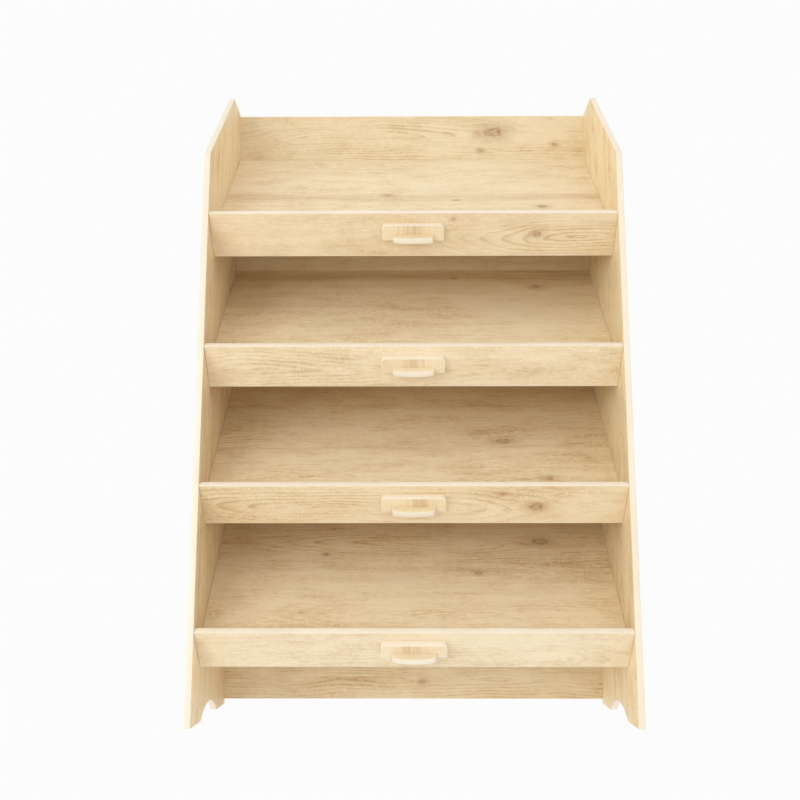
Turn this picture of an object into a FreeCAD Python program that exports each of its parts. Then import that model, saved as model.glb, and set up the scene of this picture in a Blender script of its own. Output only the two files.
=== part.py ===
import FreeCAD, Part
import math
import os
from FreeCAD import Placement, Rotation, Vector

# Book display stand in laminated board: two side panels, a back panel between them, and four
# lift-out trays that rest on sloping battens. Millimetres. X runs across the stand, -Y is the
# front and +Z is up. The origin is on the floor, in the middle of the stand's footprint.

# ---- driving dimensions of the carcass ----
WIDTH = 1244.0
DEPTH = 500.0
HEIGHT = 2000.0
BOARD = 18.0            # every board is 18 mm laminated board
BAND = 2.0              # thickness of the edge band on the boards' visible edges
TOP_FLAT = 147.0        # depth of the level part of a side panel's top
ARCH_CHORD = 226.0      # width of the foot arch at the floor
ARCH_RISE = 40.0        # height of the foot arch
BACK_LIFT = 16.0        # gap between the floor and the back panel

# ---- driving dimensions of the trays ----
TRAY_COUNT = 4
TRAY_PITCH = 402.0      # from one lip's top edge to the next
TOP_TRAY_HEIGHT = 1458.0   # front top edge of the highest lip
TILT = 45.0             # slope of the shelves
SIDE_PLAY = 0.6         # gap between a tray's end and the side panel
BACK_PLAY = 1.0         # gap between a tray's rear edge and the back panel
LIP_HEIGHT = 141.0
SHELF_DROP = 74.0       # from the lip's top edge down to the shelf's face
RAIL_START = 470.0      # distance of the cross rail behind the lip's front face, along the slope
RAIL_DEPTH = 60.0
RAIL_CAM_PLACE = 40.0   # from the rail's top edge down to its cams
RAIL_DOWEL_PLACE = 16.0
CLEAT_DEPTH = 40.0
HOOK_PLAY = 0.5         # gap between a tray's hook cleat and the cross rail
BATTEN_START = 22.0
BATTEN_DEPTH = 40.0
BATTEN_PLAY = 4.0       # gap between a batten's end and the cross rail

# ---- handle on each lip ----
PLATE_WIDTH = 183.0
PLATE_HEIGHT = 49.0
PLATE_DROP = 32.0       # from the lip's top edge down to the plate's top edge
PLATE_RADIUS = 12.0     # rounding of the plate's two top corners
LEDGE_WIDTH = 120.0
LEDGE_END_REACH = 35.0  # how far the ledge's ends stand out from the lip
LEDGE_BOW = 7.0         # how much further its middle stands out
LEDGE_RADIUS = 8.0      # rounding of the ledge's two front corners

# ---- fasteners ----
HOLE_PLAY = 0.3         # radial gap round a fastener, which stands for thread or glue
END_PLAY = 0.5          # gap at the blind end of a fastener's hole
DOWEL_RADIUS = 4.0
DOWEL_LENGTH = 30.0
DOWEL_SHORT_END = 12.0  # the length that sits in the board whose face is drilled
DOWEL_CHAMFER = 0.8
HANDLE_DOWEL_RADIUS = 3.0
HANDLE_DOWEL_LENGTH = 28.0
CAM_RADIUS = 7.5
CAM_DEPTH = 12.5
CAM_SETBACK = 34.0      # from a board's end to the centre of its cam
CAM_SLOT_WIDTH = 1.4
CAM_SLOT_HALF = 4.2     # half the length of each arm of the cross slot in a cam's face
CAM_SLOT_DEPTH = 3.0
BOLT_RADIUS = 3.0
BOLT_HEAD_RADIUS = 3.6
BOLT_HEAD_LENGTH = 3.0
BOLT_BITE = 11.0        # length of a cam bolt that is screwed into the side panel
SCREW_RADIUS = 2.0
SCREW_HEAD_RADIUS = 4.0
SCREW_HEAD_DEPTH = 2.6
SCREW_TIP = 3.0
SCREW_SLOT_WIDTH = 1.1
SCREW_SLOT_HALF = 2.4
SCREW_SLOT_DEPTH = 1.3
BATTEN_SCREW = 30.0     # screw lengths
CLEAT_SCREW = 50.0
HANDLE_SCREW = 30.0

# ---- worked-out sizes ----
FRONT = -DEPTH / 2
REAR = DEPTH / 2
BACK_FACE = REAR - BOARD
INNER = WIDTH / 2 - BOARD
TRAY_HALF = INNER - SIDE_PLAY
KNEE_OFFSET = HEIGHT - (REAR - TOP_FLAT)    # z minus y along the sloping top front edge
ARCH_RADIUS = ((ARCH_CHORD / 2) ** 2 + ARCH_RISE ** 2) / (2 * ARCH_RISE)
ARCH_CENTRE = ARCH_RISE - ARCH_RADIUS
SHELF_UNDER = SHELF_DROP + BOARD
RAIL_BOTTOM = SHELF_UNDER + RAIL_DEPTH
CLEAT_BOTTOM = SHELF_UNDER + CLEAT_DEPTH
CLEAT_START = RAIL_START + BOARD + HOOK_PLAY
BATTEN_END = RAIL_START - BATTEN_PLAY
RAIL_MIDDLE = RAIL_START + BOARD / 2
RAIL_CAM_DROP = SHELF_UNDER + RAIL_CAM_PLACE
RAIL_DOWEL_DROP = SHELF_UNDER + RAIL_DOWEL_PLACE
BACK_MIDDLE = REAR - BOARD / 2

# ---- where the repeated fasteners go ----
BACK_CAM_HEIGHTS = [150.0, 575.0, 1000.0, 1425.0, 1850.0]
BACK_DOWEL_HEIGHTS = [100.0, 360.0, 790.0, 1210.0, 1640.0, 1900.0]
LIP_DOWEL_PLACES = [-500.0, -300.0, -100.0, 100.0, 300.0, 500.0]
BATTEN_SCREW_PLACES = [60.0, 244.0, 428.0]
CLEAT_SCREW_PLACES = [-450.0, -150.0, 150.0, 450.0]
HANDLE_SCREW_PLACES = [-70.0, 70.0]
HANDLE_DOWEL_PLACES = [-38.0, 38.0]

X_AXIS = Vector(1, 0, 0)
Y_AXIS = Vector(0, 1, 0)
Z_AXIS = Vector(0, 0, 1)


# ---- helpers ----
def box(x0, x1, y0, y1, z0, z1):
    return Part.makeBox(x1 - x0, y1 - y0, z1 - z0, Vector(x0, y0, z0))


def polygon_edges(points):
    return [Part.LineSegment(a, b).toShape() for a, b in zip(points, points[1:])]


def prism(edges, sweep):
    return Part.Face(Part.Wire(edges)).extrude(sweep)


def along(shape, axis, place):
    """Turns a shape that was made along +Z so that it runs along axis, and moves it to place."""
    placed = shape.copy()
    placed.Placement = Placement(place, Rotation(Z_AXIS, axis))
    return placed


def tray_height(number):
    return TOP_TRAY_HEIGHT - (number - 1) * TRAY_PITCH


def on_slope(shape, number):
    """Moves a shape from a tray's own axes to the stand's. A tray's own +Y runs up the slope
    from the lip's front face, and its own +Z is square to the shelf, from the lip's top."""
    placed = shape.copy()
    placed.Placement = Placement(Vector(0, FRONT, tray_height(number)), Rotation(X_AXIS, TILT)) \
        .multiply(shape.Placement)
    return placed


def cut_all(solid, tools):
    return solid.cut(Part.Compound(tools)) if tools else solid


def save(node, solids):
    shape = solids[0] if len(solids) == 1 else Part.Compound(solids)
    if not shape.isValid():
        raise ValueError(node + " is not a valid shape")
    shape.exportStep("parts/" + node + ".step")
    print(node, len(shape.Solids), "solid(s),", round(shape.Volume / 1000), "cm3")


# ---- fasteners, made along +Z from their first end ----
def dowel(radius, length):
    pin = Part.makeCylinder(radius, length)
    return pin.makeChamfer(DOWEL_CHAMFER, [e for e in pin.Edges if isinstance(e.Curve, Part.Circle)])


def plain_hole(radius, length):
    return Part.makeCylinder(radius + HOLE_PLAY, length + 2 * END_PLAY, Vector(0, 0, -END_PLAY))


def cross_slot(width, half, depth):
    """The two arms of a driver's cross slot. They start below z = 0 so that they cut its face."""
    return [box(-half, half, -width / 2, width / 2, -1, depth),
            box(-width / 2, width / 2, -half, half, -1, depth)]


def screw(length):
    profile = polygon_edges([
        Vector(0, 0, 0),
        Vector(SCREW_HEAD_RADIUS, 0, 0),
        Vector(SCREW_RADIUS, 0, SCREW_HEAD_DEPTH),
        Vector(SCREW_RADIUS, 0, length - SCREW_TIP),
        Vector(0, 0, length),
        Vector(0, 0, 0),
    ])
    turned = Part.Face(Part.Wire(profile)).revolve(Vector(0, 0, 0), Z_AXIS, 360)
    return cut_all(turned, cross_slot(SCREW_SLOT_WIDTH, SCREW_SLOT_HALF, SCREW_SLOT_DEPTH))


def screw_hole(length):
    """A screw's hole, countersunk at z = 0, where the screw's head lies level with the board."""
    mouth = SCREW_HEAD_RADIUS + HOLE_PLAY
    bore = SCREW_RADIUS + HOLE_PLAY
    shank = Part.makeCylinder(bore, length + END_PLAY)
    return shank.fuse(Part.makeCone(mouth, bore, SCREW_HEAD_DEPTH + HOLE_PLAY))


def cam():
    """A cam housing: a disc with a cross slot in its face, which lies at z = 0."""
    disc = Part.makeCylinder(CAM_RADIUS, CAM_DEPTH)
    return cut_all(disc, cross_slot(CAM_SLOT_WIDTH, CAM_SLOT_HALF, CAM_SLOT_DEPTH))


def cam_bolt(reach):
    """A cam bolt: its threaded end starts at z = 0, and its head stops short of the cam."""
    shank = Part.makeCylinder(BOLT_RADIUS, reach - BOLT_HEAD_LENGTH)
    head = Part.makeCylinder(BOLT_HEAD_RADIUS, BOLT_HEAD_LENGTH, Vector(0, 0, reach - BOLT_HEAD_LENGTH))
    return shank.fuse(head).removeSplitter()


def cam_bolt_hole():
    """The bolt's hole in both boards. It opens into the cam's own hole."""
    return Part.makeCylinder(BOLT_HEAD_RADIUS + HOLE_PLAY, BOLT_BITE + CAM_SETBACK + END_PLAY,
                             Vector(0, 0, -END_PLAY))


# ---- carcass fasteners, in the stand's axes; side is -1 for left and 1 for right ----
def back_cams(shape):
    return [along(shape, -Y_AXIS, Vector(side * (INNER - CAM_SETBACK), REAR, z))
            for side in (-1, 1) for z in BACK_CAM_HEIGHTS]


def back_bolts(shape):
    return [along(shape, Vector(-side, 0, 0), Vector(side * (INNER + BOLT_BITE), BACK_MIDDLE, z))
            for side in (-1, 1) for z in BACK_CAM_HEIGHTS]


def back_dowels(shape):
    return [along(shape, Vector(-side, 0, 0), Vector(side * (INNER + DOWEL_SHORT_END), BACK_MIDDLE, z))
            for side in (-1, 1) for z in BACK_DOWEL_HEIGHTS]


# ---- rail and batten fasteners, in a tray's own axes ----
def rail_cams(shape):
    return [along(shape, Y_AXIS, Vector(side * (INNER - CAM_SETBACK), RAIL_START, -RAIL_CAM_DROP))
            for side in (-1, 1)]


def rail_bolts(shape):
    return [along(shape, Vector(-side, 0, 0), Vector(side * (INNER + BOLT_BITE), RAIL_MIDDLE, -RAIL_CAM_DROP))
            for side in (-1, 1)]


def rail_dowels(shape):
    start = INNER + DOWEL_SHORT_END
    return [along(shape, Vector(-side, 0, 0), Vector(side * start, RAIL_MIDDLE, -RAIL_DOWEL_DROP))
            for side in (-1, 1)]


def batten_screws(shape, side):
    drop = SHELF_UNDER + BATTEN_DEPTH / 2
    return [along(shape, Vector(side, 0, 0), Vector(side * (INNER - BOARD), y, -drop))
            for y in BATTEN_SCREW_PLACES]


def for_every_tray(shapes):
    return [on_slope(shape, number) for number in range(1, TRAY_COUNT + 1) for shape in shapes]


# ---- carcass boards ----
def side_outline(inset):
    """The side panel's outline in the YZ plane, drawn in by inset on every edge but the feet."""
    front = FRONT + inset
    rear = REAR - inset
    top = HEIGHT - inset
    offset = KNEE_OFFSET - inset * math.sqrt(2)
    radius = ARCH_RADIUS + inset
    arch_half = math.sqrt(radius ** 2 - ARCH_CENTRE ** 2)
    edges = polygon_edges([
        Vector(0, -arch_half, 0),
        Vector(0, front, 0),
        Vector(0, front, front + offset),
        Vector(0, top - offset, top),
        Vector(0, rear, top),
        Vector(0, rear, 0),
        Vector(0, arch_half, 0),
    ])
    arch = Part.Arc(Vector(0, arch_half, 0), Vector(0, 0, ARCH_CENTRE + radius), Vector(0, -arch_half, 0))
    return edges + [arch.toShape()]


def side_blank(side, inset):
    panel = prism(side_outline(inset), Vector(side * BOARD, 0, 0))
    panel.translate(Vector(side * INNER, 0, 0))
    return panel


def side_panel(side):
    holes = back_bolts(cam_bolt_hole()) + back_dowels(plain_hole(DOWEL_RADIUS, DOWEL_LENGTH))
    holes += for_every_tray(rail_bolts(cam_bolt_hole()))
    holes += for_every_tray(rail_dowels(plain_hole(DOWEL_RADIUS, DOWEL_LENGTH)))
    holes += for_every_tray(batten_screws(screw_hole(BATTEN_SCREW), side))
    return cut_all(side_blank(side, BAND), [h for h in holes if h.BoundBox.Center.x * side > 0])


def side_edge_bands(side):
    """Two strips: one up the front, over the top and down the rear, and one round the arch."""
    return side_blank(side, 0).cut(side_blank(side, BAND)).Solids


def back_panel():
    panel = box(-INNER, INNER, BACK_FACE, REAR, BACK_LIFT + BAND, HEIGHT - BAND)
    holes = back_cams(plain_hole(CAM_RADIUS, CAM_DEPTH)) + back_bolts(cam_bolt_hole())
    holes += back_dowels(plain_hole(DOWEL_RADIUS, DOWEL_LENGTH))
    return cut_all(panel, holes)


def back_edge_bands():
    return [box(-INNER, INNER, BACK_FACE, REAR, z, z + BAND) for z in (BACK_LIFT, HEIGHT - BAND)]


def cross_rail(number):
    rail = box(-INNER, INNER, RAIL_START, RAIL_START + BOARD, -RAIL_BOTTOM, -SHELF_UNDER)
    holes = rail_cams(plain_hole(CAM_RADIUS, CAM_DEPTH)) + rail_bolts(cam_bolt_hole())
    holes += rail_dowels(plain_hole(DOWEL_RADIUS, DOWEL_LENGTH))
    return on_slope(cut_all(rail, holes), number)


def batten(number, side):
    faces = sorted([side * INNER, side * (INNER - BOARD)])
    strip = box(faces[0], faces[1], BATTEN_START, BATTEN_END, -SHELF_UNDER - BATTEN_DEPTH, -SHELF_UNDER)
    return on_slope(cut_all(strip, batten_screws(screw_hole(BATTEN_SCREW), side)), number)


# ---- tray boards, in the tray's own axes ----
def shelf_end_profile():
    """The shelf's section. Its rear edge is cut upright, so that it meets the back panel."""
    reach = (BACK_FACE - BACK_PLAY - FRONT) / math.cos(math.radians(TILT))
    return [
        Vector(0, BOARD, -SHELF_DROP),
        Vector(0, reach - SHELF_DROP, -SHELF_DROP),
        Vector(0, reach - SHELF_UNDER, -SHELF_UNDER),
        Vector(0, BOARD, -SHELF_UNDER),
        Vector(0, BOARD, -SHELF_DROP),
    ]


def shelf_blank(x0, x1):
    blank = prism(polygon_edges(shelf_end_profile()), Vector(x1 - x0, 0, 0))
    blank.translate(Vector(x0, 0, 0))
    return blank


def lip_dowels(shape):
    start = BOARD - DOWEL_SHORT_END
    return [along(shape, Y_AXIS, Vector(x, start, -SHELF_DROP - BOARD / 2)) for x in LIP_DOWEL_PLACES]


def handle_dowels(shape):
    start = -DOWEL_SHORT_END / 2
    return [along(shape, -Y_AXIS, Vector(x, start, -PLATE_DROP - PLATE_HEIGHT + BOARD / 2))
            for x in HANDLE_DOWEL_PLACES]


def handle_screws(shape):
    return [along(shape, -Y_AXIS, Vector(x, BOARD, -PLATE_DROP - PLATE_HEIGHT / 2))
            for x in HANDLE_SCREW_PLACES]


def cleat_screws(shape):
    return [along(shape, Z_AXIS, Vector(x, CLEAT_START + BOARD / 2, -CLEAT_BOTTOM))
            for x in CLEAT_SCREW_PLACES]


def shelf():
    holes = lip_dowels(plain_hole(DOWEL_RADIUS, DOWEL_LENGTH)) + cleat_screws(screw_hole(CLEAT_SCREW))
    return cut_all(shelf_blank(BAND - TRAY_HALF, TRAY_HALF - BAND), holes)


def lip():
    board = box(BAND - TRAY_HALF, TRAY_HALF - BAND, 0, BOARD, BAND - LIP_HEIGHT, -BAND)
    holes = lip_dowels(plain_hole(DOWEL_RADIUS, DOWEL_LENGTH)) + handle_screws(screw_hole(HANDLE_SCREW))
    return cut_all(board, holes)


def tray_edge_bands():
    """The strips on the lip's top, bottom and ends, and on the shelf's ends."""
    strips = [box(-TRAY_HALF, TRAY_HALF, 0, BOARD, z, z + BAND) for z in (-BAND, -LIP_HEIGHT)]
    for x in (-TRAY_HALF, TRAY_HALF - BAND):
        strips.append(box(x, x + BAND, 0, BOARD, BAND - LIP_HEIGHT, -BAND))
        strips.append(shelf_blank(x, x + BAND))
    return strips


def hook_cleat():
    strip = box(BAND - TRAY_HALF, TRAY_HALF - BAND, CLEAT_START, CLEAT_START + BOARD,
                -CLEAT_BOTTOM, -SHELF_UNDER)
    return cut_all(strip, cleat_screws(screw_hole(CLEAT_SCREW)))


def plate_blank(inset):
    """The handle's plate, with two rounded top corners, drawn in by inset all round."""
    half = PLATE_WIDTH / 2 - inset
    top = -PLATE_DROP - inset
    bottom = -PLATE_DROP - PLATE_HEIGHT + inset
    radius = PLATE_RADIUS - inset
    turn = radius * (1 - math.sqrt(0.5))
    edges = polygon_edges([Vector(-half, 0, top - radius), Vector(-half, 0, bottom),
                           Vector(half, 0, bottom), Vector(half, 0, top - radius)])
    edges.append(Part.Arc(Vector(half, 0, top - radius), Vector(half - turn, 0, top - turn),
                          Vector(half - radius, 0, top)).toShape())
    edges += polygon_edges([Vector(half - radius, 0, top), Vector(radius - half, 0, top)])
    edges.append(Part.Arc(Vector(radius - half, 0, top), Vector(turn - half, 0, top - turn),
                          Vector(-half, 0, top - radius)).toShape())
    return prism(edges, Vector(0, -BOARD, 0))


def ledge_rim(inset):
    """The edges round the ledge's ends and bowed front, from left to right, drawn in by inset."""
    bow_radius = ((LEDGE_WIDTH / 2) ** 2 + LEDGE_BOW ** 2) / (2 * LEDGE_BOW)
    bow_centre = bow_radius - LEDGE_END_REACH - LEDGE_BOW
    corner_x = LEDGE_WIDTH / 2 - LEDGE_RADIUS
    corner_y = bow_centre - math.sqrt((bow_radius - LEDGE_RADIUS) ** 2 - corner_x ** 2)
    bottom = -PLATE_DROP - PLATE_HEIGHT
    half = LEDGE_WIDTH / 2 - inset
    bow, radius = bow_radius - inset, LEDGE_RADIUS - inset
    lean = math.atan2(corner_x, bow_centre - corner_y)      # from the middle of the bow to its end

    def on_bow(angle):
        return Vector(bow * math.sin(angle), bow_centre - bow * math.cos(angle), bottom)

    def on_corner(side):
        middle = (lean + math.pi / 2) / 2
        return Vector(side * (corner_x + radius * math.sin(middle)), corner_y - radius * math.cos(middle), bottom)

    left, right = Vector(-half, corner_y, bottom), Vector(half, corner_y, bottom)
    arcs = [Part.Arc(left, on_corner(-1), on_bow(-lean)), Part.Arc(on_bow(-lean), on_bow(0), on_bow(lean)),
            Part.Arc(on_bow(lean), on_corner(1), right)]
    start = Part.makeLine(Vector(-half, -BOARD, bottom), left)
    end = Part.makeLine(right, Vector(half, -BOARD, bottom))
    return [start] + [arc.toShape() for arc in arcs] + [end]


def ledge_back(x0, x1):
    """A straight edge of the ledge on the plate's face."""
    bottom = -PLATE_DROP - PLATE_HEIGHT
    return Part.makeLine(Vector(x0, -BOARD, bottom), Vector(x1, -BOARD, bottom))


def ledge_core():
    """The handle's D-shaped ledge, without its edge band."""
    half = LEDGE_WIDTH / 2 - BAND
    return prism(ledge_rim(BAND) + [ledge_back(half, -half)], Vector(0, 0, BOARD))


def ledge_strip():
    """The edge band round the ledge's ends and bowed front."""
    half = LEDGE_WIDTH / 2
    outline = ledge_rim(0) + [ledge_back(half, half - BAND)]
    outline += ledge_rim(BAND)[::-1] + [ledge_back(BAND - half, -half)]
    return prism(outline, Vector(0, 0, BOARD))


def handle_plate():
    holes = handle_screws(screw_hole(HANDLE_SCREW)) + \
        handle_dowels(plain_hole(HANDLE_DOWEL_RADIUS, HANDLE_DOWEL_LENGTH))
    return cut_all(plate_blank(BAND), holes)


def handle_ledge():
    return cut_all(ledge_core(), handle_dowels(plain_hole(HANDLE_DOWEL_RADIUS, HANDLE_DOWEL_LENGTH)))


def handle_edge_bands():
    """A ring round the plate, and a strip round the ledge's ends and bowed front."""
    ring = plate_blank(0).cut(plate_blank(BAND))
    return ring.Solids + [ledge_strip()]


# ---- nodes ----
def save_carcass():
    for side, word in ((-1, "left"), (1, "right")):
        save(word + "_side_panel", [side_panel(side)])
        save(word + "_side_edge_bands", side_edge_bands(side))
    save("back_panel", [back_panel()])
    save("back_panel_edge_bands", back_edge_bands())
    for number in range(1, TRAY_COUNT + 1):
        save("cross_rail_%d" % number, [cross_rail(number)])
        save("left_batten_%d" % number, [batten(number, -1)])
        save("right_batten_%d" % number, [batten(number, 1)])


def save_carcass_fasteners():
    bolt = cam_bolt(BOLT_BITE + CAM_SETBACK - CAM_RADIUS - END_PLAY)
    pin = dowel(DOWEL_RADIUS, DOWEL_LENGTH)
    screws = batten_screws(screw(BATTEN_SCREW), -1) + batten_screws(screw(BATTEN_SCREW), 1)
    save("carcass_cams", back_cams(cam()) + for_every_tray(rail_cams(cam())))
    save("carcass_cam_bolts", back_bolts(bolt) + for_every_tray(rail_bolts(bolt)))
    save("carcass_dowels", back_dowels(pin) + for_every_tray(rail_dowels(pin)))
    save("batten_screws", for_every_tray(screws))


def save_tray(number):
    pins = lip_dowels(dowel(DOWEL_RADIUS, DOWEL_LENGTH))
    pins += handle_dowels(dowel(HANDLE_DOWEL_RADIUS, HANDLE_DOWEL_LENGTH))
    pieces = {
        "shelf": [shelf()],
        "lip": [lip()],
        "edge_bands": tray_edge_bands(),
        "hook_cleat": [hook_cleat()],
        "handle_plate": [handle_plate()],
        "handle_ledge": [handle_ledge()],
        "handle_edge_bands": handle_edge_bands(),
        "dowels": pins,
        "screws": cleat_screws(screw(CLEAT_SCREW)) + handle_screws(screw(HANDLE_SCREW)),
    }
    for word, solids in pieces.items():
        save("tray_%d_%s" % (number, word), [on_slope(solid, number) for solid in solids])


os.makedirs("parts", exist_ok=True)
save_carcass()
save_carcass_fasteners()
for tray_number in range(1, TRAY_COUNT + 1):
    save_tray(tray_number)
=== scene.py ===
"""A library book display stand in light oak laminated board, with four sloping lift-out trays."""
import math

import bmesh
import bpy
from mathutils import Matrix, Vector


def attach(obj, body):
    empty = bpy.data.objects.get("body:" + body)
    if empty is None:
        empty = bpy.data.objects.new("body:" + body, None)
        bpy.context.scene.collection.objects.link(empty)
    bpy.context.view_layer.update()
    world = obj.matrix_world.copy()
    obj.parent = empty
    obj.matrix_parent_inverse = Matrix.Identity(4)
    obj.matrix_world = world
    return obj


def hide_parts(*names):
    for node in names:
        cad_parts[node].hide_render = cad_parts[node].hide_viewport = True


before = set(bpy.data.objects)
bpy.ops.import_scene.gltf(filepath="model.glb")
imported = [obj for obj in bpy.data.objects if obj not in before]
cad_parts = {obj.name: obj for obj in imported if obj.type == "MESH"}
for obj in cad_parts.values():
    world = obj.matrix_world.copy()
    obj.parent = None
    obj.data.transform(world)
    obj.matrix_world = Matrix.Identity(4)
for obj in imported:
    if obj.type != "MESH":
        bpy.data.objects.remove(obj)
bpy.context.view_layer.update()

# ---- sizes, in metres ----
BOARD = 0.018           # board thickness
BAND = 0.002            # edge band thickness
HALF_WIDTH = 0.622
INNER = 0.604           # from the middle to a side panel's inner face
FRONT = -0.25
REAR = 0.25
BACK_FACE = 0.232
HEIGHT = 2.0
KNEE = 1.647            # height where the side's sloping top front edge starts
TOP_FRONT = 0.103       # where the side's level top starts
BACK_LIFT = 0.016
ARCH_RADIUS = 0.179613
ARCH_CENTRE = 0.04 - ARCH_RADIUS
TRAYS = (1.458, 1.056, 0.654, 0.252)    # heights of the lips' front top edges
TILT = math.radians(45)
TRAY_HALF = 0.6034
LIP_HEIGHT = 0.141
SHELF_TOP = -0.074      # in a tray's own axes, down from the lip's top
SHELF_UNDER = -0.092
SHELF_REACH = 0.60624   # up the slope to the rear end of the shelf's top face
RAIL_START = 0.470
RAIL_BOTTOM = -0.152
CLEAT_START = 0.4885
CLEAT_BOTTOM = -0.132
BATTEN_START = 0.022
BATTEN_END = 0.466
PLATE_HALF = 0.0915
PLATE_TOP = -0.032
PLATE_BOTTOM = -0.081
PLATE_RADIUS = 0.012
LEDGE_HALF = 0.060
LEDGE_END = -0.035
LEDGE_BOW = 0.007
LEDGE_RADIUS = 0.008
BAND_ROUND = 0.0012     # rounding of an edge band's long outer edges
ARRIS = 0.0004          # softened edge of a bare board
CAM_HOLE = 0.0078
CAM_DEPTH = 0.0130
SCREW_MOUTH = 0.0043
SCREW_BORE = 0.0023
SCREW_SINK = 0.0029

WHOLE = 20.0            # length of a stave with no end joint, longer than any board

ACROSS = Vector((1, 0, 0))
UP_SLOPE = Vector((0, math.sqrt(0.5), math.sqrt(0.5)))
OFF_SLOPE = Vector((0, -math.sqrt(0.5), math.sqrt(0.5)))
UP = Vector((0, 0, 1))


# ---- shaping helpers ----
def board(low, high):
    """A square-edged board between two corners."""
    low, high = Vector(low), Vector(high)
    mesh = bmesh.new()
    bmesh.ops.create_cube(mesh, size=1)
    bmesh.ops.scale(mesh, vec=high - low, verts=mesh.verts)
    bmesh.ops.translate(mesh, vec=(low + high) / 2, verts=mesh.verts)
    return mesh


def soften(mesh, radius, chosen=lambda a, b: True, segments=2):
    """Rounds the edges whose two ends satisfy chosen."""
    edges = [e for e in mesh.edges if chosen(e.verts[0].co, e.verts[1].co)]
    bmesh.ops.bevel(mesh, geom=edges, offset=radius, segments=segments, profile=0.5,
                    affect="EDGES", material=-1)
    return mesh


def strip(low, high, out):
    """An edge band between two corners, with its outer long edges rounded. out is the axis and
    side that it faces, such as (2, 1) for up."""
    mesh = board(low, high)
    axis, side = out
    level = high[axis] if side > 0 else low[axis]
    long_axis = max((i for i in range(3) if i != axis), key=lambda i: high[i] - low[i])
    return soften(mesh, BAND_ROUND, lambda a, b: (
        abs(a[axis] - level) < 1e-6 and abs(b[axis] - level) < 1e-6
        and abs(a[long_axis] - b[long_axis]) > 1e-6), segments=3)


def sink_holes(mesh, centres, out, mouth, floor, depth):
    """Sinks round holes from the flat face that holds the centres and faces out. Each narrows
    from the mouth radius to the floor radius."""
    out = Vector(out)
    level = Vector(centres[0]).dot(out)
    face = max((f for f in mesh.faces
                if f.normal.dot(out) > 0.99
                and abs(f.calc_center_median().dot(out) - level) < 1e-4),
               key=lambda f: f.calc_area())
    rim = list(face.edges)
    bmesh.ops.delete(mesh, geom=[face], context="FACES_ONLY")
    turn = out.to_track_quat("Z", "Y").to_matrix().to_4x4()
    rings = []
    for centre in centres:
        made = bmesh.ops.create_circle(mesh, cap_ends=False, segments=24, radius=mouth,
                                       matrix=Matrix.Translation(centre) @ turn)
        rings.append(list({e for v in made["verts"] for e in v.link_edges}))
    bmesh.ops.triangle_fill(mesh, use_beauty=True, use_dissolve=False,
                            edges=rim + [e for ring in rings for e in ring])
    for centre, ring in zip(centres, rings):
        grown = bmesh.ops.extrude_edge_only(mesh, edges=ring)["geom"]
        verts = [g for g in grown if isinstance(g, bmesh.types.BMVert)]
        bmesh.ops.scale(mesh, vec=(floor / mouth,) * 3, verts=verts,
                        space=Matrix.Translation(-Vector(centre)))
        bmesh.ops.translate(mesh, vec=-out * depth, verts=verts)
        loop = [g for g in grown if isinstance(g, bmesh.types.BMEdge)
                and all(v in verts for v in g.verts)]
        bmesh.ops.contextual_create(mesh, geom=loop)
    bmesh.ops.recalc_face_normals(mesh, faces=mesh.faces)
    return mesh


def onto_slope(mesh, number):
    """Moves a shape from a tray's own axes to the stand's."""
    bmesh.ops.rotate(mesh, cent=(0, 0, 0), matrix=Matrix.Rotation(TILT, 3, "X"), verts=mesh.verts)
    bmesh.ops.translate(mesh, vec=(0, FRONT, TRAYS[number - 1]), verts=mesh.verts)
    return mesh


def joined(meshes):
    """One mesh from several."""
    whole = bmesh.new()
    for mesh in meshes:
        part = bpy.data.meshes.new("part")
        mesh.to_mesh(part)
        mesh.free()
        whole.from_mesh(part)
        bpy.data.meshes.remove(part)
    return whole


def piece(mesh, name, material, body, node):
    """Makes the finished piece that stands for one node of the stand."""
    data = bpy.data.meshes.new(name)
    mesh.to_mesh(data)
    mesh.free()
    for face in data.polygons:
        face.use_smooth = True
    made = bpy.data.objects.new(name, data)
    bpy.context.scene.collection.objects.link(made)
    data.materials.append(material)
    data.set_sharp_from_angle(angle=math.radians(35))
    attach(made, body)
    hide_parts(node)
    return made


# ---- material helpers ----
def add(tree, kind, inputs=None, **settings):
    """Adds a node, with each input given as a value or as the output that feeds it."""
    made = tree.nodes.new("ShaderNode" + kind)
    for key, value in settings.items():
        setattr(made, key, value)
    for key, value in (inputs or {}).items():
        if isinstance(value, bpy.types.NodeSocket):
            tree.links.new(value, made.inputs[key])
        else:
            made.inputs[key].default_value = value
    return made


def calc(tree, operation, *values):
    made = tree.nodes.new("ShaderNodeMath")
    made.operation = operation
    for socket, value in zip(made.inputs, values):
        if isinstance(value, bpy.types.NodeSocket):
            tree.links.new(value, socket)
        else:
            socket.default_value = value
    return made.outputs[0]


def remap(tree, value, low, high, to_low=0.0, to_high=1.0):
    """A smooth step from to_low to to_high while value goes from low to high."""
    return add(tree, "MapRange", {"Value": value, "From Min": low, "From Max": high,
                                  "To Min": to_low, "To Max": to_high},
               interpolation_type="SMOOTHSTEP").outputs["Result"]


def speckle(tree, vector, stretch, detail=2.0, roughness=0.5):
    """Noise on a vector that is first scaled by stretch, from 0 to 1."""
    scaled = add(tree, "VectorMath", {0: vector, 1: stretch}, operation="MULTIPLY").outputs[0]
    return add(tree, "TexNoise", {"Vector": scaled, "Scale": 1.0, "Detail": detail,
                                  "Roughness": roughness}, noise_dimensions="3D").outputs[0]


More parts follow.
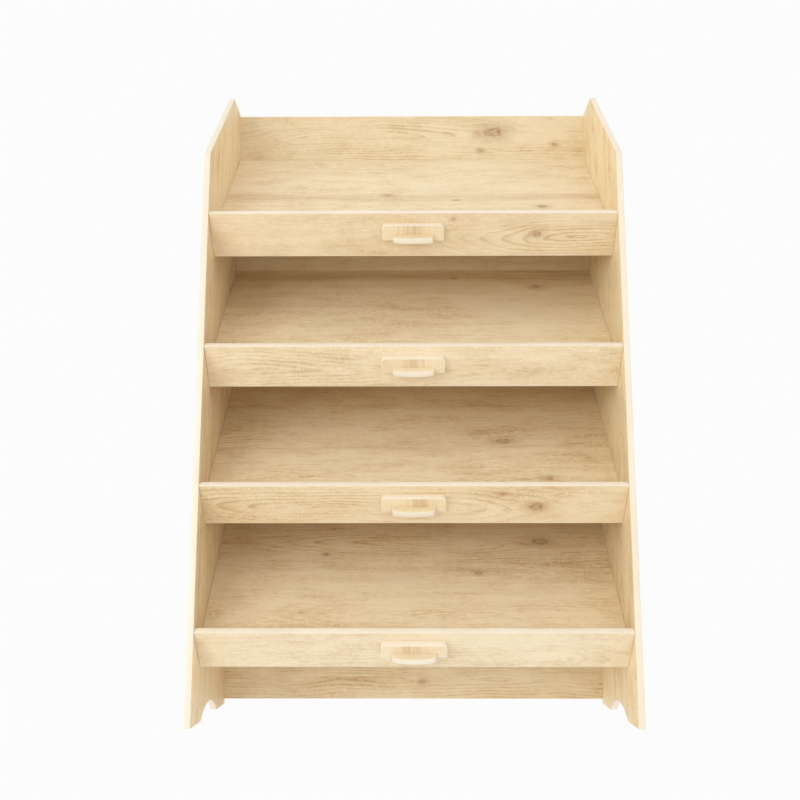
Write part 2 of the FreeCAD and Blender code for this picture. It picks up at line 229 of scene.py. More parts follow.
def blend(tree, amount, first, second, mode="MIX"):
    made = add(tree, "Mix", {"Factor": amount}, data_type="RGBA", blend_type=mode)
    for socket, value in ((made.inputs[6], first), (made.inputs[7], second)):
        if isinstance(value, bpy.types.NodeSocket):
            tree.links.new(value, socket)
        else:
            socket.default_value = (*value, 1.0)
    return made.outputs[2]


def new_material(name):
    material = bpy.data.materials.new(name)
    material.use_nodes = True
    tree = material.node_tree
    tree.nodes.clear()
    shader = add(tree, "BsdfPrincipled")
    tree.links.new(shader.outputs[0], add(tree, "OutputMaterial").inputs[0])
    coords = add(tree, "TexCoord").outputs["Object"]
    return material, tree, shader, coords


# ---- oak laminate ----
OAK_PALE = (0.90, 0.760, 0.525)
OAK_MID = (0.740, 0.550, 0.315)
OAK_DARK = (0.56, 0.365, 0.175)
OAK_FLECK = (0.95, 0.84, 0.63)
KNOT_BROWN = (0.37, 0.195, 0.08)
KNOT_STRETCH = 1.7      # how much longer a knot is along the grain than across it
KNOT_PUSH = 0.7         # how far the grain bulges round a knot
RINGS = 95.0            # growth rings in a metre
RING_WAVER = 2.6        # how many rings their spacing drifts by
WANDER_REACH = 0.08     # how far the grain line drifts, in metres
WOBBLE_REACH = 0.006    # how far it wobbles
PLAIN_TONE = 0.28       # tone of oak between its figure, from pale 0 to mid 1
RING_TONE = 0.62        # how much a growth ring darkens it


def oak(name, origin, along, across, seed, tint=(1, 1, 1), stave=(0.9, 0.30), heart=None,
        knots=(), veins_and_shade=(), figure=1.0, busy=1.0):
    """Light oak laminate. The grain runs along one direction and the figure spreads across the
    other, both seen from origin. heart is (along, across, slimness) for nested ovals round one
    place, knots are (along, across, radius), and the bands are (across, half width, strength)
    for soft brown stripes that follow the grain: real veins on the shelves, and on a handle
    plate painted shade over the ledge. figure and busy weigh the rings and the fine grain."""
    material, tree, shader, coords = new_material(name)
    turn = Matrix((along, across, along.cross(across)))
    place = add(tree, "Mapping", {"Vector": coords, "Rotation": turn.to_euler(),
                                  "Location": -(turn @ Vector(origin))}).outputs[0]
    shifted = add(tree, "VectorMath", {0: place, 1: (seed * 3.7, seed * 1.3, seed * 0.9)},
                  operation="ADD").outputs[0]
    parts = add(tree, "SeparateXYZ", {0: place}).outputs
    length, width = parts[0], parts[1]

    # the grain's line: a slow wander, a small wobble, and a bulge round each knot
    wobble = calc(tree, "SUBTRACT", speckle(tree, shifted, (11, 26, 26), 3), 0.5)
    wander = calc(tree, "SUBTRACT", speckle(tree, shifted, (1.3, 2.4, 2.0), 2), 0.5)
    bent = calc(tree, "ADD", width, calc(tree, "MULTIPLY", wander, WANDER_REACH))
    bent = calc(tree, "ADD", bent, calc(tree, "MULTIPLY", wobble, WOBBLE_REACH))
    crinkle = calc(tree, "SUBTRACT", speckle(tree, shifted, (70, 110, 90), 2), 0.5)
    knot_dark, knot_near = None, None
    for knot_along, knot_across, radius in knots:
        offset = add(tree, "Mapping", {
            "Vector": place, "Scale": (1 / KNOT_STRETCH, 1, 0),
            "Location": (-knot_along / KNOT_STRETCH, -knot_across, 0)}).outputs[0]
        reach = add(tree, "VectorMath", {0: offset}, operation="LENGTH").outputs["Value"]
        reach = calc(tree, "ADD", reach, calc(tree, "MULTIPLY", wobble, radius * 2.2))
        reach = calc(tree, "ADD", reach, calc(tree, "MULTIPLY", crinkle, radius * 1.3))
        near = remap(tree, reach, radius * 4.0, radius * 0.4)
        ring = calc(tree, "MULTIPLY", remap(tree, reach, radius * 1.15, radius * 0.8),
                    remap(tree, reach, radius * 0.1, radius * 0.7, 0.45, 1.0))
        middle = calc(tree, "MULTIPLY", ring, remap(tree, crinkle, -0.16, 0.14, 0.22, 0.62))
        dark = calc(tree, "ADD", middle,
                    calc(tree, "MULTIPLY", remap(tree, reach, radius * 3.0, radius * 0.5), 0.22))
        push = calc(tree, "MULTIPLY", calc(tree, "SUBTRACT", width, knot_across), near)
        bent = calc(tree, "SUBTRACT", bent, calc(tree, "MULTIPLY", push, KNOT_PUSH))
        knot_dark = dark if knot_dark is None else calc(tree, "MAXIMUM", knot_dark, dark)
        knot_near = near if knot_near is None else calc(tree, "MAXIMUM", knot_near, near)

    # staves: each has its own heart line, tone and place along the log
    stave_length, stave_width = stave
    row = calc(tree, "FLOOR", calc(tree, "DIVIDE", width, stave_width))
    row_chance = add(tree, "TexWhiteNoise", {"W": calc(tree, "ADD", row, seed * 11.3)},
                     noise_dimensions="1D").outputs["Value"]
    column = calc(tree, "FLOOR", calc(tree, "ADD", calc(tree, "DIVIDE", length, stave_length),
                                      calc(tree, "MULTIPLY", row_chance, 5.0)))
    cell = add(tree, "CombineXYZ", {0: row, 1: column, 2: seed}).outputs[0]
    chance = add(tree, "TexWhiteNoise", {"Vector": cell}, noise_dimensions="3D")
    draws = add(tree, "SeparateColor", {0: chance.outputs["Color"]}).outputs
    line = calc(tree, "MULTIPLY", calc(tree, "ADD", row, calc(tree, "ADD", calc(
        tree, "MULTIPLY", draws[0], 0.6), 0.2)), stave_width)
    run = calc(tree, "ADD", calc(tree, "MULTIPLY", length, 1.1),
               calc(tree, "MULTIPLY", draws[1], 30.0))
    drift = add(tree, "TexNoise", {"W": run, "Scale": 1.0, "Detail": 1.0},
                noise_dimensions="1D").outputs[0]
    drift = calc(tree, "SUBTRACT", drift, 0.5)
    sunk = calc(tree, "MULTIPLY", drift, 0.20)
    shown = remap(tree, draws[1], 0.15, 0.85, 0.15, 1.0)
    if heart:
        heart_along, heart_across, slimness = heart
        own_row = calc(tree, "COMPARE", row, math.floor(heart_across / stave_width), 0.1)
        line = add(tree, "Mix", {"Factor": own_row, "A": line, "B": heart_across}).outputs[0]
        oval = calc(tree, "ADD", calc(tree, "MULTIPLY", drift, 0.05),
                    calc(tree, "MULTIPLY", calc(tree, "SUBTRACT", length, heart_along), slimness))
        sunk = add(tree, "Mix", {"Factor": own_row, "A": sunk, "B": oval}).outputs[0]
        shown = add(tree, "Mix", {"Factor": own_row, "A": shown, "B": 1.1}).outputs[0]
    from_heart = calc(tree, "SUBTRACT", bent, line)
    rings = calc(tree, "SQRT", calc(tree, "ADD", calc(tree, "POWER", from_heart, 2.0),
                                    calc(tree, "POWER", sunk, 2.0)))

    # growth rings, and streaks and fibres that follow them
    uneven = speckle(tree, shifted, (2.6, 9.0, 8.0), 2)
    phase = calc(tree, "ADD", calc(tree, "MULTIPLY", rings, RINGS),
                 calc(tree, "MULTIPLY", uneven, RING_WAVER))
    ring = calc(tree, "FRACT", phase)
    late = calc(tree, "MULTIPLY", remap(tree, ring, 0.40, 0.88), remap(tree, ring, 1.0, 0.92))
    late = calc(tree, "MULTIPLY", late, remap(tree, rings, 0.11, 0.025, 0.12, 1.0))
    late = calc(tree, "MULTIPLY", late, shown)
    broken = remap(tree, speckle(tree, shifted, (4, 12, 10), 2), 0.34, 0.62, 0.10, 1.0)
    late = calc(tree, "MULTIPLY", late, broken)
    curved = add(tree, "CombineXYZ", {
        0: length, 1: rings, 2: calc(tree, "MULTIPLY", draws[1], 9.0)}).outputs[0]
    curved = add(tree, "VectorMath", {0: curved, 1: (seed * 1.9, seed * 0.7, seed)},
                 operation="ADD").outputs[0]
    straight = add(tree, "CombineXYZ", {
        0: length, 1: bent, 2: calc(tree, "MULTIPLY", draws[1], 5.0)}).outputs[0]
    straight = add(tree, "VectorMath", {0: straight, 1: (seed * 2.3, seed * 1.1, seed)},
                   operation="ADD").outputs[0]
    streaks = speckle(tree, curved, (2.4, 85, 1), 3, 0.6)
    bands = speckle(tree, straight, (1.6, 42, 1), 3, 0.6)
    threads = speckle(tree, straight, (11, 290, 1), 3, 0.65)
    dashes = speckle(tree, shifted, (42, 380, 200), 2, 0.6)
    mottles = speckle(tree, shifted, (48, 100, 80), 2, 0.6)
    fibres = speckle(tree, shifted, (18, 620, 300), 2, 0.6)
    pores = remap(tree, speckle(tree, shifted, (55, 1300, 900), 1), 0.60, 0.72)
    patches = speckle(tree, shifted, (1.8, 4.5, 3.0), 2)
    clouds = speckle(tree, shifted, (10, 22, 12), 3)
    flecks = remap(tree, speckle(tree, shifted, (170, 60, 60), 2), 0.56, 0.70)
    flecks = calc(tree, "MULTIPLY", flecks, remap(tree, patches, 0.48, 0.62))

    tone = calc(tree, "ADD", calc(tree, "MULTIPLY", late, RING_TONE * figure), PLAIN_TONE)
    for noise, weight in ((streaks, 0.75 * figure), (bands, 0.85 * busy),
                          (threads, 0.95 * busy), (dashes, busy), (mottles, 0.7 * busy),
                          (fibres, 0.5), (patches, 1.3), (clouds, 1.1 * busy), (draws[2], 0.14)):
        change = calc(tree, "MULTIPLY", calc(tree, "SUBTRACT", noise, 0.5), weight)
        tone = calc(tree, "ADD", tone, change)
    colour = blend(tree, add(tree, "Clamp", {0: tone}).outputs[0], OAK_PALE, OAK_MID)
    browner = calc(tree, "MULTIPLY", remap(tree, tone, 0.62, 1.45), 0.80)
    # Darker bands along the grain: real veins on the shelves, and on a handle plate a band of
    # painted shade as wide as the ledge.
    for vein_and_shade_across, half_width, strength in veins_and_shade:
        gap = calc(tree, "ABSOLUTE", calc(tree, "SUBTRACT", bent, vein_and_shade_across))
        line = calc(tree, "MULTIPLY", remap(tree, gap, half_width, 0.0), strength)
        browner = calc(tree, "MAXIMUM", browner, calc(tree, "MULTIPLY", line, remap(
            tree, streaks, 0.30, 0.62, 0.25, 1.0)))
    colour = blend(tree, browner, colour, OAK_DARK)
    colour = blend(tree, calc(tree, "MULTIPLY", pores, 0.30), colour, OAK_DARK)
    colour = blend(tree, calc(tree, "MULTIPLY", flecks, 0.45), colour, OAK_FLECK)
    if knots:
        colour = blend(tree, calc(tree, "MULTIPLY", knot_near, 0.25), colour, OAK_DARK)
        colour = blend(tree, knot_dark, colour, KNOT_BROWN)
    colour = blend(tree, 1.0, colour, tint, "MULTIPLY")
    tree.links.new(colour, shader.inputs["Base Color"])

    rough = calc(tree, "ADD", calc(tree, "MULTIPLY", fibres, 0.12),
                 calc(tree, "MULTIPLY", pores, 0.10))
    tree.links.new(calc(tree, "ADD", rough, 0.42), shader.inputs["Roughness"])
    shader.inputs["Specular IOR Level"].default_value = 0.3
    height = calc(tree, "SUBTRACT", calc(tree, "MULTIPLY", fibres, 0.5), pores)
    bump = add(tree, "Bump", {"Height": height, "Strength": 0.25, "Distance": 0.0004})
    tree.links.new(bump.outputs[0], shader.inputs["Normal"])
    return material


CREAM_DEEP = (0.840, 0.735, 0.565)
CREAM_PALE = (0.890, 0.795, 0.635)


def cream_band(name):
    """Smooth cream edge band with a faint print along it."""
    material, tree, shader, coords = new_material(name)
    cloud = speckle(tree, coords, (7, 7, 7), 3)
    grain = speckle(tree, coords, (240, 240, 240), 2)
    amount = calc(tree, "ADD", calc(tree, "MULTIPLY", cloud, 0.7),
                  calc(tree, "MULTIPLY", grain, 0.3))
    colour = blend(tree, remap(tree, amount, 0.3, 0.7), CREAM_DEEP, CREAM_PALE)
    tree.links.new(colour, shader.inputs["Base Color"])
    rough = calc(tree, "ADD", calc(tree, "MULTIPLY", grain, 0.14), 0.34)
    tree.links.new(rough, shader.inputs["Roughness"])
    shader.inputs["Specular IOR Level"].default_value = 0.4
    bump = add(tree, "Bump", {"Height": grain, "Strength": 0.12, "Distance": 0.0003})
    tree.links.new(bump.outputs[0], shader.inputs["Normal"])
    return material


def metal(name, light, dark, roughness):
    """Plated steel with fine cloudy wear."""
    material, tree, shader, coords = new_material(name)
    wear = speckle(tree, coords, (420, 420, 420), 3)
    tree.links.new(blend(tree, wear, light, dark), shader.inputs["Base Color"])
    rough = calc(tree, "ADD", calc(tree, "MULTIPLY", wear, 0.2), roughness)
    tree.links.new(rough, shader.inputs["Roughness"])
    shader.inputs["Metallic"].default_value = 1.0
    bump = add(tree, "Bump", {"Height": wear, "Strength": 0.1, "Distance": 0.0002})
    tree.links.new(bump.outputs[0], shader.inputs["Normal"])
    return material


def beech(name):
    """Turned dowel wood with fine grain."""
    material, tree, shader, coords = new_material(name)
    grain = speckle(tree, coords, (900, 900, 900), 2)
    colour = blend(tree, grain, (0.72, 0.52, 0.31), (0.56, 0.37, 0.20))
    tree.links.new(colour, shader.inputs["Base Color"])
    rough = calc(tree, "ADD", calc(tree, "MULTIPLY", grain, 0.2), 0.5)
    tree.links.new(rough, shader.inputs["Roughness"])
    bump = add(tree, "Bump", {"Height": grain, "Strength": 0.3, "Distance": 0.0003})
    tree.links.new(bump.outputs[0], shader.inputs["Normal"])
    return material


# ---- side panels ----
def side_outline():
    """The side panel's outline as one flat face at x = 0. Its foot bottoms and its arch go on a
    band's thickness below the floor, so that the inner part, drawn in by a band, ends at it."""
    mesh = bmesh.new()
    corners = [(FRONT, -BAND), (FRONT, KNEE), (TOP_FRONT, HEIGHT), (REAR, HEIGHT), (REAR, -BAND)]
    path = [mesh.verts.new((0, y, z)) for y, z in corners]
    for a, b in zip(path, path[1:]):
        mesh.edges.new((a, b))
    drop = -BAND - ARCH_CENTRE
    reach = math.sqrt(ARCH_RADIUS ** 2 - drop ** 2)
    first = mesh.verts.new((0, -reach, -BAND))
    bmesh.ops.spin(mesh, geom=[first], cent=(0, 0, ARCH_CENTRE), axis=(1, 0, 0),
                   angle=-2 * math.atan2(reach, drop), steps=40, use_merge=False)
    last = max((v for v in mesh.verts if v not in path), key=lambda v: v.co.y)
    mesh.edges.new((path[0], first))
    mesh.edges.new((path[-1], last))
    bmesh.ops.contextual_create(mesh, geom=mesh.edges)
    ring = bmesh.ops.inset_region(mesh, faces=mesh.faces, thickness=BAND, use_even_offset=True,
                                  use_boundary=True)["faces"]
    return mesh, ring


def thickened(mesh, side):
    """Gives a flat sheet at x = 0 the side panel's thickness and place."""
    grown = bmesh.ops.extrude_face_region(mesh, geom=mesh.faces)["geom"]
    verts = [g for g in grown if isinstance(g, bmesh.types.BMVert)]
    bmesh.ops.translate(mesh, vec=(BOARD, 0, 0), verts=verts)
    start = INNER if side > 0 else -HALF_WIDTH
    bmesh.ops.translate(mesh, vec=(start, 0, 0), verts=mesh.verts)
    bmesh.ops.recalc_face_normals(mesh, faces=mesh.faces)
    return mesh


def on_outline(point):
    y, z = point.y, point.z
    arch = math.hypot(y, z - ARCH_CENTRE)
    return (min(abs(y - FRONT), abs(y - REAR), abs(z - HEIGHT), abs(arch - ARCH_RADIUS)) < 2e-4
            or abs(z - y - (KNEE - FRONT)) < 2e-4)


def side_core(side):
    mesh, ring = side_outline()
    bmesh.ops.delete(mesh, geom=ring, context="FACES")
    return thickened(mesh, side)


def side_edging(side):
    mesh, ring = side_outline()
    bmesh.ops.delete(mesh, geom=[f for f in mesh.faces if f not in ring], context="FACES")
    bmesh.ops.bisect_plane(mesh, geom=mesh.verts[:] + mesh.edges[:] + mesh.faces[:],
                           plane_co=(0, 0, 0), plane_no=(0, 0, 1), clear_inner=True)
    thickened(mesh, side)
    return soften(mesh, BAND_ROUND, lambda a, b: (
        on_outline(a) and on_outline(b) and abs(a.x - b.x) < 1e-6
        and (b - a).length > 1e-4), segments=3)


# ---- back, rails and battens ----
BACK_CAMS = (0.150, 0.575, 1.000, 1.425, 1.850)
CAM_X = INNER - 0.034
RAIL_CAM_Z = SHELF_UNDER - 0.040
BATTEN_SCREWS = (0.060, 0.244, 0.428)
CLEAT_SCREWS = (-0.450, -0.150, 0.150, 0.450)
HANDLE_SCREWS = (-0.070, 0.070)


def back_board():
    mesh = board((-INNER, BACK_FACE, BACK_LIFT + BAND), (INNER, REAR, HEIGHT - BAND))
    return sink_holes(mesh, [(side * CAM_X, REAR, z) for side in (-1, 1) for z in BACK_CAMS],
                      (0, 1, 0), CAM_HOLE, CAM_HOLE, CAM_DEPTH)


def back_edging():
    return joined([strip((-INNER, BACK_FACE, z), (INNER, REAR, z + BAND), (2, side))
                   for z, side in ((BACK_LIFT, -1), (HEIGHT - BAND, 1))])


def cross_rail():
    mesh = soften(board((-INNER, RAIL_START, RAIL_BOTTOM),
                        (INNER, RAIL_START + BOARD, SHELF_UNDER)), ARRIS)
    return sink_holes(mesh, [(side * CAM_X, RAIL_START, RAIL_CAM_Z) for side in (-1, 1)],
                      (0, -1, 0), CAM_HOLE, CAM_HOLE, CAM_DEPTH)


def batten(side):
    near, far = side * (INNER - BOARD), side * INNER
    mesh = soften(board((min(near, far), BATTEN_START, CLEAT_BOTTOM),
                        (max(near, far), BATTEN_END, SHELF_UNDER)), ARRIS)
    middle = (CLEAT_BOTTOM + SHELF_UNDER) / 2
    return sink_holes(mesh, [(near, y, middle) for y in BATTEN_SCREWS], (-side, 0, 0),
                      SCREW_MOUTH, SCREW_BORE, SCREW_SINK)


# ---- tray boards, in a tray's own axes ----
def shelf_blank(x0, x1):
    """A length of shelf, whose rear end is cut upright."""
    mesh = board((x0, BOARD, SHELF_UNDER), (x1, SHELF_REACH, SHELF_TOP))
    low_rear = [v for v in mesh.verts if v.co.y > BOARD + 0.01 and v.co.z < SHELF_UNDER + 1e-6]
    bmesh.ops.translate(mesh, vec=(0, -BOARD, 0), verts=low_rear)
    return mesh


def lip():
    mesh = board((BAND - TRAY_HALF, 0, BAND - LIP_HEIGHT), (TRAY_HALF - BAND, BOARD, -BAND))
    middle = (PLATE_TOP + PLATE_BOTTOM) / 2
    return sink_holes(mesh, [(x, BOARD, middle) for x in HANDLE_SCREWS], (0, 1, 0),
                      SCREW_MOUTH, SCREW_BORE, SCREW_SINK)


def tray_edging():
    strips = [strip((-TRAY_HALF, 0, z), (TRAY_HALF, BOARD, z + BAND), (2, side))
              for z, side in ((-BAND, 1), (-LIP_HEIGHT, -1))]
    for x, side in ((-TRAY_HALF, -1), (TRAY_HALF - BAND, 1)):
        strips.append(strip((x, 0, BAND - LIP_HEIGHT), (x + BAND, BOARD, -BAND), (0, side)))
        outer = x if side < 0 else x + BAND
        strips.append(soften(shelf_blank(x, x + BAND), BAND_ROUND, lambda a, b: (
            abs(a.x - outer) < 1e-6 and abs(b.x - outer) < 1e-6
            and abs(a.z - b.z) < 1e-6), segments=3))
    return joined(strips)


def hook_cleat():
    mesh = soften(board((BAND - TRAY_HALF, CLEAT_START, CLEAT_BOTTOM),
                        (TRAY_HALF - BAND, CLEAT_START + BOARD, SHELF_UNDER)), ARRIS)
    return sink_holes(mesh, [(x, CLEAT_START + BOARD / 2, CLEAT_BOTTOM) for x in CLEAT_SCREWS],
                      (0, 0, -1), SCREW_MOUTH, SCREW_BORE, SCREW_SINK)


def plate_face(inset):
    """The handle plate's front as one flat face, with its top corners rounded."""
    mesh = bmesh.new()
    half = PLATE_HALF - inset
    low, high = PLATE_BOTTOM + inset, PLATE_TOP - inset
    corners = [(-half, low), (half, low), (half, high), (-half, high)]
    face = mesh.faces.new([mesh.verts.new((x, -BOARD, z)) for x, z in corners])
    top = [v for v in face.verts if v.co.z > high - 1e-6]
    bmesh.ops.bevel(mesh, geom=top, offset=PLATE_RADIUS - inset, segments=10, profile=0.5,
                    affect="VERTICES", material=-1)
    return mesh


def ledge_face(inset):
    """The handle ledge seen from below as one flat face, with a bowed front."""
    mesh = bmesh.new()
    bow = (LEDGE_HALF ** 2 + LEDGE_BOW ** 2) / (2 * LEDGE_BOW)
    centre = bow + LEDGE_END - LEDGE_BOW
    corner_x = LEDGE_HALF - LEDGE_RADIUS
    corner_y = centre - math.sqrt((bow - LEDGE_RADIUS) ** 2 - corner_x ** 2)
    lean = math.atan2(corner_x, centre - corner_y)
    first = mesh.verts.new((inset - LEDGE_HALF, corner_y, PLATE_BOTTOM))
    for cent, angle, steps in (((-corner_x, corner_y, PLATE_BOTTOM), math.pi / 2 - lean, 8),
                               ((0, centre, PLATE_BOTTOM), 2 * lean, 24),
                               ((corner_x, corner_y, PLATE_BOTTOM), math.pi / 2 - lean, 8)):
        tip = first if cent[0] < 0 else last
        spun = bmesh.ops.spin(mesh, geom=[tip], cent=cent, axis=(0, 0, 1), angle=angle, steps=steps,
                              use_merge=False)
        last = [g for g in spun["geom_last"] if isinstance(g, bmesh.types.BMVert)][0]
    near = mesh.verts.new((inset - LEDGE_HALF, -BOARD, PLATE_BOTTOM))
    far = mesh.verts.new((LEDGE_HALF - inset, -BOARD, PLATE_BOTTOM))
    for pair in ((near, first), (last, far), (far, near)):
        mesh.edges.new(pair)
    bmesh.ops.contextual_create(mesh, geom=mesh.edges)
    return mesh


def pushed(mesh, way):
    """Turns a flat face into a solid, by extruding it."""
    grown = bmesh.ops.extrude_face_region(mesh, geom=mesh.faces)["geom"]
    verts = [g for g in grown if isinstance(g, bmesh.types.BMVert)]
    bmesh.ops.translate(mesh, vec=way, verts=verts)
    bmesh.ops.recalc_face_normals(mesh, faces=mesh.faces)
    return mesh


def rim_of(outer, inner):
    """The flat ring between two outlines, as one mesh of faces."""
    mesh = joined([outer, inner])
    bmesh.ops.delete(mesh, geom=mesh.faces, context="FACES_ONLY")
    return mesh


def plate_ring():
    mesh = rim_of(plate_face(0), plate_face(BAND))
    bmesh.ops.triangle_fill(mesh, use_beauty=True, use_dissolve=False, edges=mesh.edges)
    pushed(mesh, (0, BOARD, 0))

    def outer_front(a, b):
        return all(abs(p.y + BOARD) < 1e-6 and plate_depth(p) < 1e-4 for p in (a, b))
    return soften(mesh, BAND_ROUND, outer_front, segments=3)


def plate_depth(p):
    """How far a point of the plate lies inside its outline."""
    across, up = PLATE_HALF - abs(p.x), PLATE_TOP - p.z
    if across < PLATE_RADIUS and up < PLATE_RADIUS:
        return PLATE_RADIUS - math.hypot(PLATE_RADIUS - across, PLATE_RADIUS - up)
    return min(across, up, p.z - PLATE_BOTTOM)


def ledge_band():
    """The band round the ledge's ends and bowed front, without its straight back."""
    mesh = rim_of(ledge_face(0), ledge_face(BAND))
    back = [e for e in mesh.edges if all(abs(v.co.y + BOARD) < 1e-6 for v in e.verts)]
    bmesh.ops.delete(mesh, geom=back, context="EDGES")
    ends = sorted((v for v in mesh.verts if abs(v.co.y + BOARD) < 1e-6), key=lambda v: v.co.x)
    mesh.edges.new(ends[:2])
    mesh.edges.new(ends[2:])
    bmesh.ops.triangle_fill(mesh, use_beauty=True, use_dissolve=False, edges=mesh.edges)
    pushed(mesh, (0, 0, BOARD))
    bow = (LEDGE_HALF ** 2 + LEDGE_BOW ** 2) / (2 * LEDGE_BOW)
    centre = Vector((0, bow + LEDGE_END - LEDGE_BOW))

    def outside(p):
        return (abs(abs(p.x) - LEDGE_HALF) < 1e-4 or abs((p.xy - centre).length - bow) < 1e-4
                or ledge_corner(p))

    def ledge_corner(p):
        corner_x = LEDGE_HALF - LEDGE_RADIUS
        corner_y = centre.y - math.sqrt((bow - LEDGE_RADIUS) ** 2 - corner_x ** 2)
        return abs(math.hypot(abs(p.x) - corner_x, p.y - corner_y) - LEDGE_RADIUS) < 1e-4

    return soften(mesh, BAND_ROUND, lambda a, b: (
        outside(a) and outside(b) and abs(a.z - b.z) < 1e-6 and (a - b).length > 1e-5), segments=3)


# ---- the stand ----
def tray_origin(number):
    return Vector((0, FRONT, TRAYS[number - 1]))


cream = cream_band("cream edge band")
rail_oak = oak("oak rails", (0, 0, 0), ACROSS, UP, 31.0)
batten_oak = oak("oak battens", (0, 0, 0), UP_SLOPE, OFF_SLOPE, 37.0)

# The side tints are partly tone and partly painted light: the right one is paler, where the lamp
# from the left falls on that panel's inner face.
for word, side, side_tone_and_light_tint in (("left", -1, (1.0, 0.96, 0.89)),
                              ("right", 1, (1.03, 1.03, 0.975))):
    side_oak = oak("oak side " + word, (0, 0, 0), UP, Vector((0, 1, 0)),
                   3.0 + side, tint=side_tone_and_light_tint, stave=(2.6, 0.26), figure=1.3, busy=1.35)
    piece(side_core(side), "side_board_" + word, side_oak, "carcass", word + "_side_panel")
    piece(side_edging(side), "side_edging_" + word, cream, "carcass", word + "_side_edge_bands")
    for number in range(1, 5):
        piece(onto_slope(batten(side), number), "batten_%s_%d" % (word, number), batten_oak,
              "carcass", "%s_batten_%d" % (word, number))

# The back's tint darkens it as painted shade, for less light on the back than the lamp gives it.
back_oak = oak("oak back", (0, 0, 0), ACROSS, UP, 7.0,
               tint=(0.91, 0.895, 0.85),
               stave=(WHOLE, 0.24), heart=(-0.25, 1.92, 0.09),
               knots=((0.29, 1.94, 0.018), (0.24, 1.87, 0.005), (0.50, 1.89, 0.006),
                      (0.03, 0.07, 0.006)))
piece(back_board(), "back_board", back_oak, "carcass", "back_panel")
piece(back_edging(), "back_edging", cream, "carcass", "back_panel_edge_bands")

PLATE_PALER = 1.03      # how much paler a handle plate is than its lip

# Each shelf's tint is partly its own tone and partly painted shade: the brown in it stands in for
# the warm light bounced between the trays.
SHELF_LOOKS = {
    1: dict(tint=(0.97, 0.96, 0.935), stave=(WHOLE, 0.8),
            figure=0.6, busy=1.3, veins_and_shade=((0.28, 0.05, 0.45),),
            knots=((-0.08, 0.30, 0.007), (0.14, 0.26, 0.004), (0.41, 0.21, 0.009))),
    2: dict(tint=(1.04, 1.03, 1.005), stave=(WHOLE, 0.8),
            figure=0.6, busy=1.35, veins_and_shade=((0.56, 0.05, 0.40),),
            knots=((0.14, 0.55, 0.004), (0.41, 0.49, 0.009))),
    3: dict(tint=(1.0, 0.98, 0.94), stave=(0.41, 0.19),
            figure=0.9, busy=1.35, veins_and_shade=((0.27, 0.02, 0.30),),
            knots=((0.28, 0.30, 0.013), (0.40, 0.12, 0.009))),
    4: dict(tint=(0.995, 0.97, 0.93), stave=(WHOLE, 0.34),
            heart=(0.0, 0.43, 0.09), busy=1.3,
            knots=((0.40, 0.44, 0.013), (0.20, 0.30, 0.007), (-0.27, 0.38, 0.005))),
}
LIP_LOOKS = {
    1: dict(tint=(0.95, 0.93, 0.895), stave=(WHOLE, 0.3),
            heart=(0.53, -0.07, 0.16), busy=0.9,
            knots=((0.12, -0.02, 0.004), (0.37, -0.07, 0.010))),
    2: dict(tint=(0.98, 0.985, 0.985), stave=(WHOLE, 0.3),
            heart=(-0.34, -0.08, 0.10), figure=0.7, busy=1.15),
    3: dict(tint=(0.97, 0.955, 0.92), stave=(WHOLE, 0.3),
            heart=(-0.20, -0.08, 0.09), figure=0.75,
            knots=((0.35, -0.08, 0.011), (0.25, -0.03, 0.004))),
    4: dict(tint=(0.96, 0.97, 0.98), stave=(WHOLE, 0.3),
            figure=0.6, busy=1.2),
}
for number in range(1, 5):
    origin = tray_origin(number)
    body = "tray_%d" % number
    shelf_oak = oak("oak shelf %d" % number, origin, ACROSS, UP_SLOPE, 10.0 + number,
                    **SHELF_LOOKS[number])
    lip_oak = oak("oak lip %d" % number, origin, ACROSS, OFF_SLOPE, 20.0 + number,
                  **LIP_LOOKS[number])
    tint = LIP_LOOKS[number]["tint"]
    # The handle plate's one band, centred and as wide as the ledge, is painted shade from the ledge
    # on the plate's face.
    plate_oak = oak("oak handle plate %d" % number, origin, OFF_SLOPE, ACROSS, 40.0 + number,
                    tint=[min(c * PLATE_PALER, 1.0) for c in tint], stave=(WHOLE, 1.0),
                    figure=0.3, busy=0.5, veins_and_shade=((0.0, 0.062, 0.60),))
    ledge_oak = oak("oak handle ledge %d" % number, origin, ACROSS, UP,
                    50.0 + number, tint=tint, stave=(WHOLE, 1.0), figure=0.4, busy=0.7)
    for mesh, word, node, material, slot in (
            (shelf_blank(BAND - TRAY_HALF, TRAY_HALF - BAND), "shelf", "shelf", shelf_oak,
             "oak_laminate"),
            (lip(), "lip", "lip", lip_oak, "oak_laminate"),
            (tray_edging(), "tray_edging", "edge_bands", cream, "cream_edge_band"),
            (hook_cleat(), "hook_cleat", "hook_cleat", rail_oak, "oak_laminate_strip"),
            (pushed(plate_face(BAND), (0, BOARD, 0)), "handle_plate", "handle_plate",
             plate_oak, "oak_laminate_handle"),
            (pushed(ledge_face(BAND), (0, 0, BOARD)), "handle_ledge", "handle_ledge",
             ledge_oak, "oak_laminate_handle"),
            (joined([plate_ring(), ledge_band()]), "handle_edging", "handle_edge_bands",
             cream, "cream_edge_band")):
        piece(onto_slope(mesh, number), "%s_%d" % (word, number), material, body,
              "tray_%d_%s" % (number, node))
    piece(onto_slope(cross_rail(), number), "cross_rail_board_%d" % number, rail_oak, "carcass",
          "cross_rail_%d" % number)

zinc = metal("zinc plate", (0.72, 0.72, 0.70), (0.52, 0.52, 0.50), 0.28)
steel = metal("plain steel", (0.50, 0.50, 0.49), (0.36, 0.36, 0.35), 0.34)
dowel_wood = beech("beech dowel")
for node, material in [("carcass_cams", zinc), ("carcass_cam_bolts", steel),
                       ("carcass_dowels", dowel_wood), ("batten_screws", zinc)] + \
        [("tray_%d_%s" % (n, word), material) for n in range(1, 5)
         for word, material in (("dowels", dowel_wood), ("screws", zinc))]:
    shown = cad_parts[node]
    shown.data.materials.clear()
    shown.data.materials.append(material)


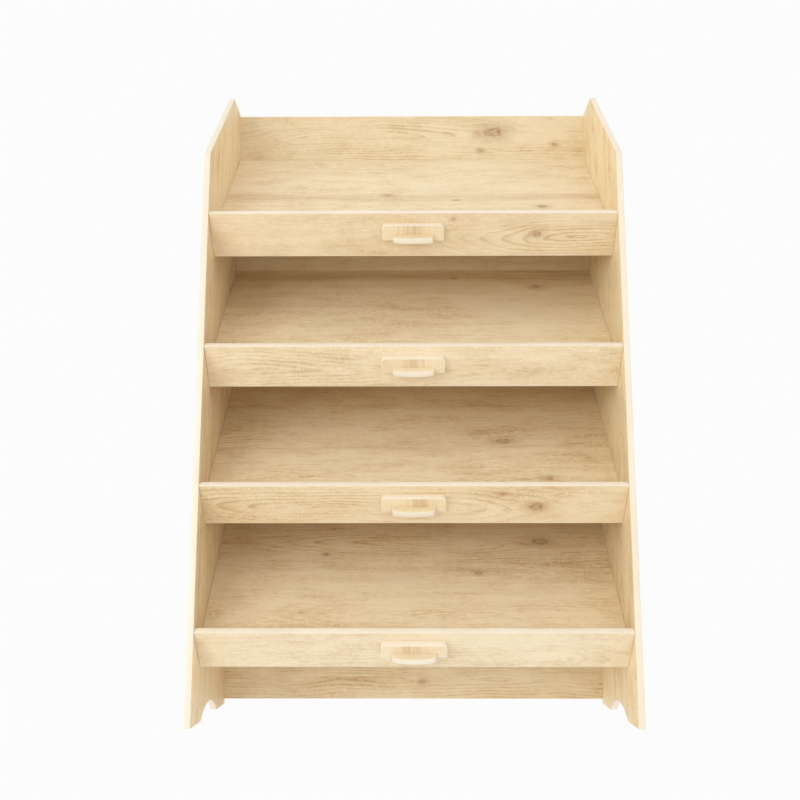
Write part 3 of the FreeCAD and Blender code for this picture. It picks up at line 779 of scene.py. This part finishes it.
# ---- floor, light and camera ----
FLOOR_REACH = 40        # metres from the middle to the floor's edge
FLOOR_GLOW = 0.968
BACKDROP = (0.975, 0.975, 0.975, 1)
LAMP_PLACE = (-3.6, -5.2, 0.7)
LAMP_AIM = Vector((0.1, 0, 0.8))
LAMP_POWER = 116
CAMERA_PLACE = (-0.0175, -2.956, 0.4306)
CAMERA_TILT = 9.808     # degrees above level
CAMERA_TURN = 0.443     # degrees to the left


def studio():
    scene = bpy.context.scene
    scene.view_settings.view_transform = "Standard"
    mesh = bmesh.new()
    bmesh.ops.create_grid(mesh, x_segments=1, y_segments=1, size=FLOOR_REACH)
    data = bpy.data.meshes.new("floor")
    mesh.to_mesh(data)
    mesh.free()
    floor = bpy.data.objects.new("floor", data)
    scene.collection.objects.link(floor)
    material, tree, shader, coords = new_material("floor paint")
    cloud = speckle(tree, coords, (1, 1, 1), 2)
    colour = blend(tree, cloud, (0.008, 0.008, 0.008), (0.006, 0.006, 0.006))
    tree.links.new(colour, shader.inputs["Base Color"])
    shader.inputs["Roughness"].default_value = 0.9
    shader.inputs["Specular IOR Level"].default_value = 0.0
    shader.inputs["Emission Color"].default_value = (1, 1, 1, 1)
    shader.inputs["Emission Strength"].default_value = FLOOR_GLOW
    data.materials.append(material)

    world = bpy.data.worlds.new("studio")
    scene.world = world
    world.use_nodes = True
    world.node_tree.nodes["Background"].inputs[0].default_value = BACKDROP
    world.node_tree.nodes["Background"].inputs[1].default_value = 1.0

    lamp = bpy.data.lights.new("soft front light", "AREA")
    lamp.shape = "RECTANGLE"
    lamp.size, lamp.size_y = 4.0, 2.4
    lamp.energy = LAMP_POWER
    stand = bpy.data.objects.new("soft front light", lamp)
    stand.location = LAMP_PLACE
    facing = LAMP_AIM - Vector(LAMP_PLACE)
    stand.rotation_euler = facing.to_track_quat("-Z", "Y").to_euler()
    scene.collection.objects.link(stand)

    lens = bpy.data.cameras.new("camera")
    lens.sensor_width = 36
    lens.lens = 43.40
    camera = bpy.data.objects.new("camera", lens)
    camera.location = CAMERA_PLACE
    camera.rotation_euler = (math.radians(90 + CAMERA_TILT), 0, math.radians(CAMERA_TURN))
    scene.collection.objects.link(camera)
    scene.camera = camera


studio()
